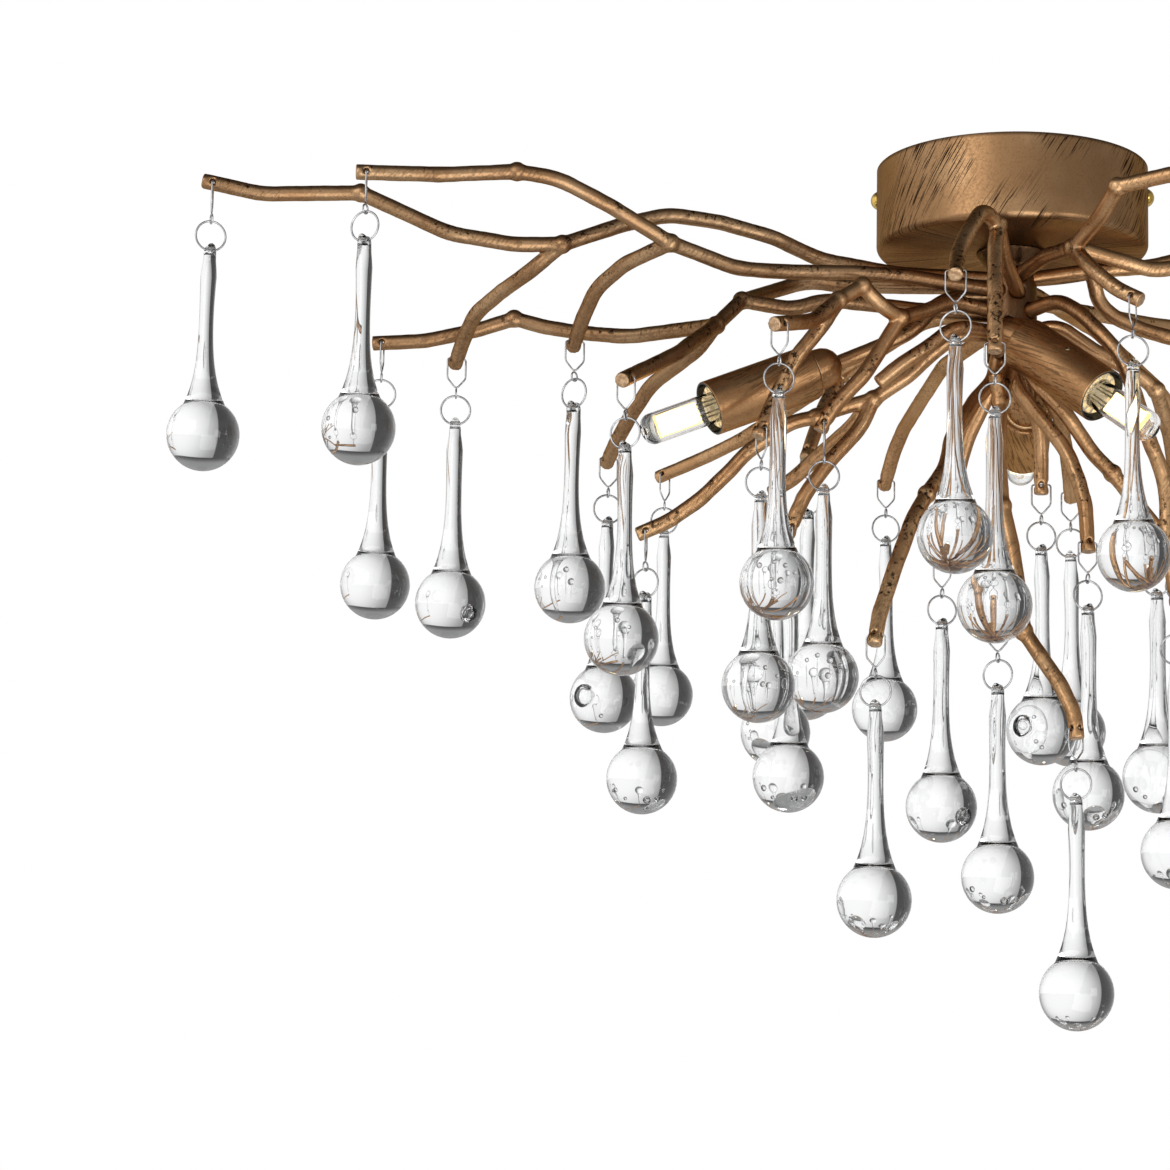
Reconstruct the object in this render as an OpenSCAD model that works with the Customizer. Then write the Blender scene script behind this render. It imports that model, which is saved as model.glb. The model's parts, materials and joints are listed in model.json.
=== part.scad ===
// Flush ceiling light: bent metal branches spread from a hub under a round
// canopy, clear glass drops hang from the branch tips on wire clips and rings,
// and three capsule lamps sit among the branches.
// Origin: centre of the ceiling plane. +Z is up, -Y is the front.

/* [Canopy] */
// Outer diameter of the canopy
canopy_d = 120; // [110:1:130]
// Height of the canopy, from the ceiling to its floor
canopy_h = 38; // [34:0.5:42]
// Sheet thickness of the canopy
canopy_wall = 1.5; // [1:0.1:1.8]
// Radius of the rolled lower corner
canopy_lip_r = 3; // [2:0.5:4]

/* [Bracket and screws] */
// Width of the bracket bar
bracket_w = 22; // [18:1:26]
// Thickness of the bracket bar
bracket_t = 2; // [1.5:0.1:2.5]
// Length of the bracket's turned-down ears
ear_h = 22; // [19:0.5:25]
// Distance between the two ceiling screw holes
ceiling_hole_pitch = 70; // [60:1:80]
// Diameter of the ceiling screw holes
ceiling_hole_d = 5.2; // [4.5:0.1:6]
// Depth of the side screws below the ceiling
side_screw_drop = 13; // [11:0.5:15]
// Thread diameter of the side screws
side_screw_d = 4; // [3:0.1:5]
// Diameter of a side screw's domed head
screw_head_d = 8; // [7:0.5:9]
// Height of a side screw's domed head
screw_head_h = 2.7; // [2:0.1:3.4]

/* [Hub] */
// Diameter of the hub post that takes the branch roots
hub_d = 22; // [21.6:0.1:24]
// Length of the hub post below its collar
hub_post_h = 43; // [41:1:46]
// Height of the collar between canopy and post
hub_collar_h = 7; // [5:0.5:8]
// Diameter of the collar where it meets the canopy
hub_collar_d = 32; // [28:1:40]
// Depth of each branch's socket in the post
socket_depth = 3; // [2:0.25:3.5]
// Diameter of the threaded tube
nipple_d = 10; // [9:0.1:10.5]
// Bore of the threaded tube
nipple_bore_d = 8; // [7.8:0.1:8.2]
// Bore inside the hub post, for the wires
hub_bore_d = 9; // [8:0.1:9.5]
// Width across flats of the nut
nut_flats = 17; // [15:0.5:19]
// Thickness of the nut
nut_t = 5; // [4:0.5:6]
// Thickness of the washer
washer_t = 1.2; // [1:0.1:2]

/* [Branches] */
// Diameter of a branch rod
rod_d = 6.6; // [6:0.1:6.8]
// Widest bend radius of a rod
bend_r = 40; // [25:1:60]
// How far a weld knuckle stands out from its rod
knuckle_bulge = 0.9; // [0.7:0.1:1.2]
// Bore of a hollow lamp arm
arm_bore_d = 4.2; // [4:0.1:4.6]

/* [Hangers] */
// Diameter of the clip hole in a branch tip
tip_hole_d = 2.4; // [2:0.1:2.8]
// Distance from the clip hole to the rod's cut end
tip_hole_back = 4.5; // [4:0.1:6]
// Wire diameter of the clips
clip_wire_d = 0.8; // [0.6:0.05:1]
// Gap between a clip's legs and the rod
clip_gap = 0.5; // [0.4:0.05:0.8]
// Length of a clip's straight legs
clip_leg_h = 9; // [8.5:0.5:12]
// Height over which the legs come together
clip_neck_h = 5; // [4:0.5:7]
// Mean diameter of a clip's eye
clip_eye_d = 4; // [3.6:0.1:5]
// Mean diameter of a hanging ring
ring_d = 13; // [12.5:0.5:15]
// Wire diameter of a hanging ring
ring_wire_d = 0.9; // [0.7:0.05:1]

/* [Glass drops] */
// Diameter of a drop's ball
ball_d = 31; // [28:0.5:32]
// Distance from a drop's eye to its ball's centre
drop_reach = 80; // [74:1:84]
// Diameter of the stem at its thinnest
stem_d = 6.2; // [5.6:0.1:7]
// Diameter of the stem's head round the eye
eye_d = 8; // [7.6:0.1:9]
// Thickness of the flattened head
eye_t = 5; // [4.4:0.1:5.4]
// Bore of the drop's eye
eye_bore_d = 3.4; // [3.3:0.05:3.6]
// Height of the crease above the ball's centre
crease_h = 12.5; // [11:0.5:13.5]

/* [Lamps] */
// Outer diameter of a lamp cup
cup_d = 24; // [22:0.5:26]
// Length of a lamp cup
cup_h = 50; // [44:1:54]
// Wall of a lamp cup
cup_wall = 1; // [0.8:0.1:1.4]
// Length of the collar behind the cup
cup_collar_h = 8; // [7:0.5:9]
// Diameter of the collar behind the cup
cup_collar_d = 14; // [12:0.5:16]
// Diameter of the ceramic socket
socket_d = 19; // [17:0.5:19.5]
// How far the socket's face lies inside the cup's mouth
socket_recess = 7; // [5:0.5:9]
// Diameter of the bulb's glass capsule
bulb_d = 13.5; // [13:0.5:14.5]
// Length of the glass capsule
bulb_h = 38; // [34:1:42]
// Width of the bulb's base
bulb_base_w = 11; // [10:0.5:12]
// Thickness of the bulb's base
bulb_base_t = 6; // [5:0.5:7]

/* [Hidden] */
$fn = 48;
DROP_COUNT = 38;
function two_digits(n) = n < 10 ? str("0", n) : str(n);
function drop_node(i) = str("glass_drop_", two_digits(i + 1));

gold = "#9c6c3a";
dark_gold = "#7d5429";
brass = "#d9a441";
steel = "#b9bcc0";
glass = [0.85, 0.9, 0.92, 0.45];

// Clearance of a push fit, and of a loose one
fit = 0.05;
loose = 0.3;
// Extra reach of a cutting tool past the face that it cuts
over = 1;

rod_r = rod_d / 2;
hub_r = hub_d / 2;
canopy_r = canopy_d / 2;
canopy_floor_z = -canopy_h + canopy_wall;
hub_top_z = -canopy_h - hub_collar_h;
hub_bottom_z = hub_top_z - hub_post_h;
// The ears' outer corners stand just inside the canopy's round wall
ear_face_x = sqrt(pow(canopy_r - canopy_wall - loose, 2) - pow(bracket_w / 2, 2));

// Routes of the branches, from the root to the tip.
// A fourth value of 1 marks a weld knuckle, where other rods can fork off, and 2 a wire's tight bend.
function root(az, depth) =
    [(hub_r - socket_depth) * cos(az), (hub_r - socket_depth) * sin(az), hub_top_z - depth];
// The lowest rods leave the flat end of the hub, six round one
end_ring_r = 7.3;
function end_root(az) = [end_ring_r * cos(az), end_ring_r * sin(az), hub_bottom_z + socket_depth];

left_long = [root(190, 5), [-50, -8, -49], [-84, -22, -46], [-104, -38, -40], [-126, -48, -36],
    [-148, -58, -35], [-168, -66, -42], [-192, -76, -53, 1], [-212, -80, -54], [-240, -84, -50],
    [-278, -89, -33, 1], [-320, -96, -35], [-345, -100, -30]];
left_long_twig = [left_long[7], [-206, -70, -63], [-220, -56, -68], [-234, -40, -74],
    [-241, -24, -81], [-247, -10, -90]];
left_upper = [root(240, 12), [-46, -30, -56], [-66, -40, -57], [-99, -50, -59], [-118, -60, -60],
    [-145, -80, -54, 1], [-169, -95, -42], [-191, -104, -32], [-208, -108, -30, 1],
    [-240, -115, -33], [-275, -120, -33]];
left_upper_twig = [left_upper[5], [-166, -65, -59], [-180, -50, -66], [-187, -35, -75],
    [-193, -20, -85]];

left_fork = [root(165, 21), [-40, -6, -65], [-82, -14, -62], [-96, -20, -68], [-118, -25, -65, 1],
    [-128, -40, -80, 1], [-142, -70, -100], [-156, -94, -114], [-162, -108, -121]];
left_fork_brace = [root(140, 7), [-75, 8, -50], [-91, 10, -47], [-102, 4, -52], left_fork[4]];
left_fork_long = [left_fork[5], [-146, -20, -77], [-170, -5, -76], [-190, 0, -73], [-208, 0, -70],
    [-222, 0, -66, 1], [-238, 0, -71], [-262, 0, -76], [-286, 0, -77]];
left_fork_twig = [left_fork[5], [-137, -28, -88], [-160, 0, -97], [-170, 15, -107],
    [-178, 30, -116], [-184, 45, -123]];

front_left = [root(215, 21), [-27, -18, -64], [-37, -28, -71], [-48, -39, -77, 1], [-56, -48, -74],
    [-64, -55, -67, 1], [-74, -62, -75, 1], [-84, -76, -88], [-91, -90, -92], [-99, -103, -96]];
front_left_twig = [front_left[6], [-80, -65, -86], [-91, -68, -101], [-100, -70, -120],
    [-107, -75, -138]];
front_left_inner = [front_left[3], [-63, -47, -104], [-77, -50, -120], [-82, -50, -130]];
front_mid = [root(290, 13), [-3, -45, -53], [-6, -82, -48, 1], [-12, -96, -45], [-18, -112, -59],
    [-22, -122, -71], [-23, -138, -85]];
front_mid_twig = [front_mid[2], [-7, -90, -60], [-7, -100, -80], [-7, -105, -98], [-7, -108, -110]];

low_left = [root(160, 30), [-23, -4, -75], [-35, 0, -83], [-45, 0, -93], [-61, 0, -104, 1],
    [-76, 0, -108], [-86, 0, -112, 1], [-97, 0, -114], [-117, 0, -128],
    [-124, 0, -136], [-137, 0, -149], [-151, 0, -159], [-165, 0, -165]];
low_left_back = [low_left[4], [-71, 10, -114], [-86, 20, -125], [-97, 25, -134], [-108, 30, -140]];
low_left_front = [low_left[4], [-66, -2, -117], [-80, -4, -133], [-90, -5, -147], [-94, -5, -156],
    [-98, -6, -167]];
low_left_stub = [root(214, 30), [-25, -15, -75], [-36, -20, -85], [-49, -25, -95], [-58, -26, -103]];

center_left = [end_root(210), [-8, -6, -97], [-16, -15, -108], [-26, -30, -128], [-28, -42, -144],
    [-36, -52, -158, 1], [-42, -60, -171], [-49, -68, -193], [-55, -75, -214], [-57, -80, -228]];
center_back_left = [end_root(150), [-9, 5, -98], [-20, 12, -120], [-28, 14, -150], [-31, 8, -178]];
center_long = [end_root(270), [-2, -13, -97], [-5, -28, -112, 1], [-6, -36, -138], [-4, -42, -161, 1],
    [0, -45, -179], [3, -48, -200], [5, -50, -217, 1], [12, -53, -228], [20, -55, -240],
    [26, -57, -253], [27, -58, -264]];
center_long_stub = [center_long[2], [-7, -30, -100]];
center_long_twig = [center_long[4], [-6, -32, -180], [-6, -22, -212]];
center_back = [end_root(90), [2, 12, -97], [12, 23, -108], [13, 28, -120], [13, 30, -141]];
center_back_right = [end_root(30), [13, 9, -96], [21, 30, -104], [25, 55, -118], [27, 75, -134]];
center_right = [[0, 0, hub_bottom_z + socket_depth], [2, 0, -99], [24, 2, -127], [29, 0, -141],
    [32, -2, -153], [33, -5, -174]];
center_far_right = [end_root(330), [9, -5, -96], [24, -3, -112], [35, 2, -128], [44, 4, -137, 1],
    [66, 14, -163]];

right_front = [root(290, 5), [15, -40, -50], [26, -60, -52, 1], [37, -85, -46], [44, -100, -37, 1],
    [66, -110, -35], [110, -130, -38], [165, -160, -32, 1], [215, -185, -36], [258, -205, -32]];
right_front_twig = [right_front[7], [180, -158, -48], [194, -154, -68], [205, -150, -92]];
right_front_short = [right_front[2], [33, -74, -65], [44, -80, -76], [54, -84, -82]];
right_mid = [right_front[2], [47, -55, -57], [60, -50, -60], [100, -42, -52], [150, -48, -46],
    [205, -62, -50], [250, -75, -48]];
right_long = [root(350, 5), [35, -3, -47, 1], [62, -2, -45], [84, 2, -38], [120, 10, -35],
    [170, 18, -32, 1], [230, 12, -40], [300, 10, -34]];
right_long_twig = [right_long[5], [184, 26, -52], [200, 36, -70], [214, 46, -92]];
right_low = [right_long[1], [38, 2, -60], [45, 2, -67], [58, 2, -73], [70, 0, -77], [105, 6, -84],
    [150, 12, -84], [190, 15, -108]];
right_drooping = [root(322, 21), [20, -18, -64], [29, -28, -72], [38, -34, -83], [47, -36, -94],
    [53, -36, -112], [59, -34, -132], [63, -32, -141], [66, -30, -152], [66, -30, -170],
    [70, -30, -202]];
right_drooping_back = [root(345, 30), [20, -9, -73], [35, -8, -84], [55, -4, -94], [63, -2, -101, 1],
    [70, 20, -118], [74, 42, -140], [75, 54, -159]];

back_left = [root(118, 15), [-40, 50, -56], [-80, 110, -66, 1], [-133, 175, -83], [-151, 190, -88],
    [-175, 203, -95]];
back_left_twig = [back_left[2], [-88, 98, -85], [-95, 85, -112]];
back_mid = [root(112, 23), [-31, 60, -74], [-42, 95, -82], [-51, 120, -90], [-56, 135, -98],
    [-61, 150, -112]];
back_right = [root(50, 13), [60, 70, -52], [110, 130, -44, 1], [150, 175, -48], [190, 210, -45]];
back_right_twig = [back_right[2], [124, 132, -62], [138, 131, -78], [150, 130, -96]];
back_far = [root(72, 5), [40, 110, -46], [70, 180, -56], [95, 235, -76]];

// Hollow arms of the three lamps: each lamp follows its arm's last stretch
lamp_arm_routes = [
    [root(188, 13), [-30, -10, -60], [-44, -20, -79], [-60, -24, -87], [-72, -28, -93],
     [-87, -34, -100]],
    [root(262, 27), [-4, -22, -78], [5.5, -29, -86.5]],
    [root(86, 29), [4, 16, -84], [7, 24, -97], [6.5, 40, -99.5]]
];

UPPER_LEFT = [left_long, left_long_twig, left_upper, left_upper_twig];
FORKED_LEFT = [left_fork, left_fork_brace, left_fork_long, left_fork_twig];
FRONT = [front_left, front_left_twig, front_left_inner, front_mid, front_mid_twig];
LOW_LEFT = [low_left, low_left_back, low_left_front, low_left_stub];
LOW_CENTER = [center_left, center_back_left, center_long, center_long_stub, center_long_twig,
    center_back, center_back_right, center_right, center_far_right];
RIGHT = [right_front, right_front_twig, right_front_short, right_mid, right_long, right_long_twig,
    right_low, right_drooping, right_drooping_back];
BACK = [back_left, back_left_twig, back_mid, back_right, back_right_twig, back_far];
ALL_ROUTES = concat(UPPER_LEFT, FORKED_LEFT, FRONT, LOW_LEFT, LOW_CENTER, RIGHT, BACK,
    lamp_arm_routes);

// The branch that each drop hangs from, and the direction of its ring
DROPS = [
    [left_long, 25], [left_upper, -20], [left_fork_long, 15], [left_long_twig, 10],
    [left_upper_twig, -30], [left_fork_twig, 20], [left_fork, -15], [back_left, 10],
    [low_left, -25], [front_left_twig, 15], [low_left_back, -10], [front_left, 20],
    [low_left_front, 30], [back_left_twig, -20], [front_left_inner, 10], [back_mid, 15],
    [center_left, -10], [center_back_left, 20], [front_mid, -15], [front_mid_twig, 10],
    [center_long_twig, -20], [center_back, 15], [center_back_right, -10], [center_right, 20],
    [center_long, -15], [right_front_short, 10], [center_far_right, -20],
    [right_drooping_back, 15], [right_drooping, -10], [right_front, 20],
    [right_front_twig, -15], [right_mid, 10], [right_long, -20], [right_long_twig, 15],
    [right_low, -10], [back_right, 20], [back_right_twig, -15], [back_far, 10]
];

// Geometry of bent rods
function xyz(p) = [p.x, p.y, p.z];
function unit(v) = v / norm(v);
function is_knuckle(p) = len(p) > 3 && p[3] == 1;
function bend_limit(p) = len(p) > 3 ? tight_bend_r : bend_r;
function way(route, i) = unit(xyz(route[i + 1]) - xyz(route[i]));
function stretch(route, i) = norm(xyz(route[i + 1]) - xyz(route[i]));
function turn(route, i) = acos(min(1, way(route, i - 1) * way(route, i)));
function last(route) = len(route) - 1;

// Radius of the tight bends in a wire
tight_bend_r = 3;
// Arcs are this much thicker than the straights, so that their ends meet cleanly
arc_step = 0.05;
knuckle_r = rod_r + knuckle_bulge;
// A bend takes at most this share of the stretch on each side
bend_share = 0.45;
// A straight reaches this far into an arc, and starts this far out in a knuckle
bend_lap = 0.5;
knuckle_share = 0.55;
// Below this angle a route counts as straight
least_turn = 0.5;
function is_bend(route, i) =
    i > 0 && i < last(route) && !is_knuckle(route[i]) && turn(route, i) > least_turn;
function tangent(route, i) = min(bend_share * min(stretch(route, i - 1), stretch(route, i)),
    bend_limit(route[i]) * tan(turn(route, i) / 2));
function radius(route, i) = tangent(route, i) / tan(turn(route, i) / 2);
function arc_length(route, i) = radius(route, i) * turn(route, i) * PI / 180;
// Where the straights start beside point i
function setback(route, i) =
    is_bend(route, i) ? tangent(route, i) - min(bend_lap, arc_length(route, i) / 5)
    : is_knuckle(route[i]) ? knuckle_r * knuckle_share : 0;

// Turns the Z axis to direction d
module along(d) rotate([0, acos(d.z / norm(d)), atan2(d.y, d.x)]) children();

module straight(route, i, r, past) {
    d = way(route, i);
    start = xyz(route[i]) + d * (setback(route, i) - (i == 0 ? past : 0));
    end = xyz(route[i + 1]) - d * (setback(route, i + 1) - (i + 1 == last(route) ? past : 0));
    translate(start) along(d) cylinder(r = r, h = norm(end - start));
}

module arc(route, i, r) {
    u = way(route, i - 1);
    v = way(route, i);
    inward = unit(v - u * (u * v));
    bend = radius(route, i);
    center = xyz(route[i]) - u * tangent(route, i) + inward * bend;
    side = cross(-inward, u);
    multmatrix([[-inward.x, u.x, side.x, center.x],
                [-inward.y, u.y, side.y, center.y],
                [-inward.z, u.z, side.z, center.z],
                [0, 0, 0, 1]])
        rotate_extrude(angle = turn(route, i)) translate([bend, 0]) circle(r = r + arc_step);
}

// A round rod of radius r along a route, with arcs at its bends
module bent_rod(route, r, past = 0) {
    for (i = [0 : last(route) - 1]) straight(route, i, r, past);
    for (i = [1 : last(route) - 1]) if (is_bend(route, i)) arc(route, i, r);
}

module knuckles(route) {
    for (p = route) if (is_knuckle(p)) translate(xyz(p)) sphere(r = knuckle_r);
}

// Hangers: the hole in a tip, its clip, its ring and its drop
function tip_way(route) = way(route, last(route) - 1);
function hole_center(route) = xyz(route[last(route)]) - tip_way(route) * tip_hole_back;
function hole_turn(route) = let (d = tip_way(route)) atan2(d.x, -d.y);
// A drooping tip also has a cross hole, which shows from the front
droop_limit = -0.75;
function droops(route) = tip_way(route).z < droop_limit;

clip_leg_x = rod_r + clip_gap + clip_wire_d / 2;
clip_eye_z = -clip_leg_h - clip_neck_h - clip_eye_d / 2;
hanger_gap = 0.1;
ring_top_z = clip_eye_z - clip_eye_d / 2 + (clip_wire_d + ring_wire_d) / 2 + hanger_gap;
// The lowest point of the ring, below the tip's hole: the drop swings about it
pivot_z = ring_top_z - ring_d;
function pivot(route) = hole_center(route) + [0, 0, pivot_z];
// The middle of a drop's bore lies this far below the middle of the ring's wire
bore_drop = 0.6;

module tip_holes(route) {
    translate(hole_center(route)) {
        rotate([0, 90, hole_turn(route)]) cylinder(d = tip_hole_d, h = rod_d + 2 * over, center = true);
        if (droops(route)) {
            across = cross(tip_way(route), [cos(hole_turn(route)), sin(hole_turn(route)), 0]);
            along(across) cylinder(d = tip_hole_d, h = rod_d + 2 * over, center = true);
        }
    }
}

function carries_drop(route) = len([for (d = DROPS) if (d[0] == route) 1]) > 0;

module branches(routes) {
    color(gold) for (tree = [0 : len(routes) - 1]) {
        route = routes[tree];
        difference() {
            union() {
                bent_rod(route, rod_r);
                knuckles(route);
            }
            if (carries_drop(route)) tip_holes(route);
        }
    }
}

// Canopy, bracket and what is inside
module canopy() {
    color(gold) difference() {
        rotate_extrude($fn = 96) difference() {
            union() {
                translate([0, -canopy_h]) square([canopy_r - canopy_lip_r, canopy_h]);
                translate([0, -canopy_h + canopy_lip_r]) square([canopy_r, canopy_h - canopy_lip_r]);
                translate([canopy_r - canopy_lip_r, -canopy_h + canopy_lip_r]) circle(r = canopy_lip_r);
            }
            translate([-over, canopy_floor_z + canopy_lip_r - canopy_wall])
                square([canopy_r - canopy_wall + over, canopy_h]);
            translate([-over, canopy_floor_z])
                square([canopy_r - canopy_lip_r + over, canopy_h]);
            translate([canopy_r - canopy_lip_r, -canopy_h + canopy_lip_r])
                circle(r = canopy_lip_r - canopy_wall);
            translate([-canopy_d, -canopy_h - over]) square([canopy_d, canopy_h + 2 * over]);
        }
        translate([0, 0, -canopy_h - over]) cylinder(d = nipple_d + 2 * fit, h = canopy_wall + 2 * over);
        translate([0, 0, -side_screw_drop]) rotate([0, 90, 0])
            cylinder(d = side_screw_d + 2 * fit, h = canopy_d + 2 * over, center = true);
    }
}

module ceiling_bracket() {
    color(steel) difference() {
        union() {
            translate([-ear_face_x, -bracket_w / 2, -bracket_t])
                cube([2 * ear_face_x, bracket_w, bracket_t]);
            for (side = [-1, 1])
                translate([side * (ear_face_x - bracket_t / 2), 0, -ear_h / 2])
                    cube([bracket_t, bracket_w, ear_h], center = true);
        }
        for (side = [-1, 1]) translate([side * ceiling_hole_pitch / 2, 0, -bracket_t - over])
            cylinder(d = ceiling_hole_d, h = bracket_t + 2 * over);
        translate([0, 0, -bracket_t - over]) cylinder(d = nipple_d + 2 * loose, h = bracket_t + 2 * over);
        translate([0, 0, -side_screw_drop]) rotate([0, 90, 0])
            cylinder(d = side_screw_d, h = canopy_d, center = true);
    }
}

// How far a side screw stands out of its ear
screw_end = 2;
// Radius of the head's dome
dome_r = (pow(screw_head_d / 2, 2) + pow(screw_head_h, 2)) / (2 * screw_head_h);

module canopy_screws() {
    shank = canopy_r - ear_face_x + bracket_t + screw_end;
    color(brass) for (turn = [0, 180]) rotate([0, 0, turn])
        translate([canopy_r, 0, -side_screw_drop]) rotate([0, 90, 0]) {
            translate([0, 0, -shank]) cylinder(d = side_screw_d - 2 * fit, h = shank + over);
            rotate_extrude() intersection() {
                translate([0, screw_head_h - dome_r]) circle(r = dome_r);
                square([screw_head_d, screw_head_h]);
            }
        }
}

// How far the tube stands out of its nut, and how far it enters the hub
nipple_end = 3;
nipple_in_hub = 4;
nipple_top_z = canopy_floor_z + washer_t + nut_t + nipple_end;
nipple_bottom_z = hub_top_z - nipple_in_hub;
washer_rim = 2.5;

module center_nipple() {
    color(steel) difference() {
        translate([0, 0, nipple_bottom_z]) cylinder(d = nipple_d, h = nipple_top_z - nipple_bottom_z);
        translate([0, 0, nipple_bottom_z - over])
            cylinder(d = nipple_bore_d, h = nipple_top_z - nipple_bottom_z + 2 * over);
    }
}

module nipple_nut_and_washer() {
    color(steel) translate([0, 0, canopy_floor_z]) {
        difference() {
            cylinder(d = nut_flats + 2 * washer_rim, h = washer_t);
            translate([0, 0, -over]) cylinder(d = nipple_d + 2 * fit, h = washer_t + 2 * over);
        }
        translate([0, 0, washer_t]) difference() {
            cylinder(d = nut_flats / cos(30), h = nut_t, $fn = 6);
            translate([0, 0, -over]) cylinder(d = nipple_d + 2 * fit, h = nut_t + 2 * over);
        }
    }
}

wire_d = 1.8;
block_x = 24;
block_size = [14, 34, 18];
pole_pitch = 11;
screw_well_d = 5;
screw_well_h = 5;
wire_hole_h = 4;
pole_h = 12;
// The middle wire enters the block above the other two, so that it crosses clear of them
middle_pole_rise = 3;
function pole_z(pole) = canopy_floor_z + pole_h + (pole == 0 ? middle_pole_rise : 0);

module terminal_block() {
    color("ivory") translate([block_x, -block_size.y / 2, canopy_floor_z]) difference() {
        cube(block_size);
        for (pole = [-1, 0, 1]) translate([0, block_size.y / 2 + pole * pole_pitch, 0]) {
            translate([block_size.x / 2, 0, block_size.z - screw_well_h])
                cylinder(d = screw_well_d, h = screw_well_h + over);
            translate([-over, 0, pole_z(pole) - canopy_floor_z])
                rotate([0, 90, 0]) cylinder(d = wire_d + 2 * fit, h = wire_hole_h + over);
        }
    }
}

// Solid end of the hub, below the wires
hub_end_t = 8;

// Where the three wires run up side by side through the hub and the tube
wire_shafts = [[-2.1, 0.8], [0.1, -2], [-1, 2.6]];
// How far a root's end lies from the wire's way up, and how far a wire enters its socket
wire_reach = 6;
wire_in_socket = 3;
// A wire's straight stretch before the block, and the gap at its end in its hole
wire_straight = 9;
wire_end_gap = 0.5;

// Each lamp's wire runs from the terminal block through the tube and the hub, along its arm
function wire_bend(p) = concat(p, [2]);
function wire_route(k) =
    let (arm = lamp_arm_routes[k], end = last(arm), d = way(arm, 0), pole = [0, -1, 1][k],
         low = [wire_shafts[k].x, wire_shafts[k].y, arm[0].z - d.z * wire_reach / norm([d.x, d.y])],
         z = pole_z(pole))
    concat([[block_x + wire_hole_h - wire_end_gap, pole * pole_pitch, z],
            [block_x - wire_straight, pole * pole_pitch, z, 2], [low.x, low.y, z, 2], wire_bend(low)],
           [for (i = [1 : end - 1]) arm[i]],
           [xyz(arm[end]) + way(arm, end - 1) * (cup_wall + wire_in_socket)]);

module lamp_wires() {
    color("white") for (k = [0 : 2]) bent_rod(wire_route(k), wire_d / 2);
}

module hub() {
    color(dark_gold) difference() {
        union() {
            translate([0, 0, hub_top_z]) cylinder(d1 = hub_d, d2 = hub_collar_d, h = hub_collar_h);
            translate([0, 0, hub_bottom_z]) cylinder(r = hub_r, h = hub_post_h);
        }
        translate([0, 0, nipple_bottom_z]) cylinder(d = nipple_d + 2 * fit, h = canopy_h);
        translate([0, 0, hub_bottom_z + hub_end_t]) cylinder(d = hub_bore_d, h = hub_post_h - hub_end_t);
        for (route = ALL_ROUTES) if (norm([route[0].x, route[0].y]) < hub_r)
            translate(xyz(route[0])) along(way(route, 0))
                cylinder(r = rod_r + fit, h = hub_d);
        for (arm = lamp_arm_routes)
            translate(xyz(arm[0])) along(way(arm, 0))
                translate([0, 0, -hub_r + socket_depth]) cylinder(d = arm_bore_d, h = hub_r);
    }
}

// Lamps
module at_lamp(k) {
    arm = lamp_arm_routes[k];
    translate(xyz(arm[last(arm)])) along(way(arm, last(arm) - 1)) children();
}

module lamp_arms() {
    color(gold) for (arm = lamp_arm_routes) difference() {
        bent_rod(arm, rod_r);
        bent_rod(arm, arm_bore_d / 2, over);
    }
}

module lamp_cups() {
    color(gold) for (k = [0 : 2]) at_lamp(k) difference() {
        union() {
            translate([0, 0, -cup_collar_h]) cylinder(d = cup_collar_d, h = cup_collar_h + over);
            cylinder(d = cup_d, h = cup_h);
        }
        translate([0, 0, -cup_collar_h - over]) cylinder(r = rod_r + fit, h = cup_collar_h + over);
        translate([0, 0, -over]) cylinder(d = arm_bore_d, h = cup_wall + 2 * over);
        translate([0, 0, cup_wall]) cylinder(d = cup_d - 2 * cup_wall, h = cup_h);
    }
}

socket_face = cup_h - socket_recess;
base_depth = 8;
pin_d = 1.2;
pin_pitch = 9;
pin_h = 5;
pin_hole_h = 6;

module lamp_sockets() {
    color("#f3ead2") for (k = [0 : 2]) at_lamp(k) difference() {
        translate([0, 0, cup_wall]) cylinder(d = socket_d, h = socket_face - cup_wall);
        translate([0, 0, socket_face - base_depth / 2 + over / 2])
            cube([bulb_base_w + 2 * fit, bulb_base_t + 2 * fit, base_depth + over], center = true);
        for (side = [-1, 1]) translate([side * pin_pitch / 2, 0, socket_face - base_depth - pin_hole_h])
            cylinder(d = pin_d + 2 * fit, h = pin_hole_h + over);
        translate([0, 0, -over])
            cylinder(d = wire_d + 2 * fit, h = over + cup_wall + wire_in_socket + 2 * wire_end_gap);
    }
}

// Plate between a bulb's base and its glass
bulb_plate_t = 1;
glass_foot = socket_face + bulb_plate_t;
capsule_wall = 0.8;

module capsule(r, h) {
    cylinder(r = r, h = h - r);
    translate([0, 0, h - r]) sphere(r = r);
}

module lamp_bulbs() {
    color(glass) for (k = [0 : 2]) at_lamp(k) translate([0, 0, glass_foot]) difference() {
        capsule(bulb_d / 2, bulb_h);
        translate([0, 0, -over]) capsule(bulb_d / 2 - capsule_wall, bulb_h - capsule_wall + over);
    }
}

core_d = 7;
// Space between a core's end and the round end of its glass
core_gap = 3;

module bulb_cores() {
    core_h = bulb_h - bulb_d / 2 - core_gap;
    color("#ffd27a") for (k = [0 : 2]) at_lamp(k) {
        translate([0, 0, socket_face - base_depth / 2])
            cube([bulb_base_w, bulb_base_t, base_depth], center = true);
        translate([0, 0, socket_face]) cylinder(d = bulb_d, h = bulb_plate_t);
        translate([0, 0, socket_face]) cylinder(d = core_d, h = core_h);
        for (side = [-1, 1]) translate([side * pin_pitch / 2, 0, socket_face - base_depth - pin_h])
            cylinder(d = pin_d, h = pin_h + over);
    }
}

// Clips, rings and drops
module wire_between(a, b) {
    translate(a) along(b - a) cylinder(d = clip_wire_d, h = norm(b - a), $fn = 16);
}

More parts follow.
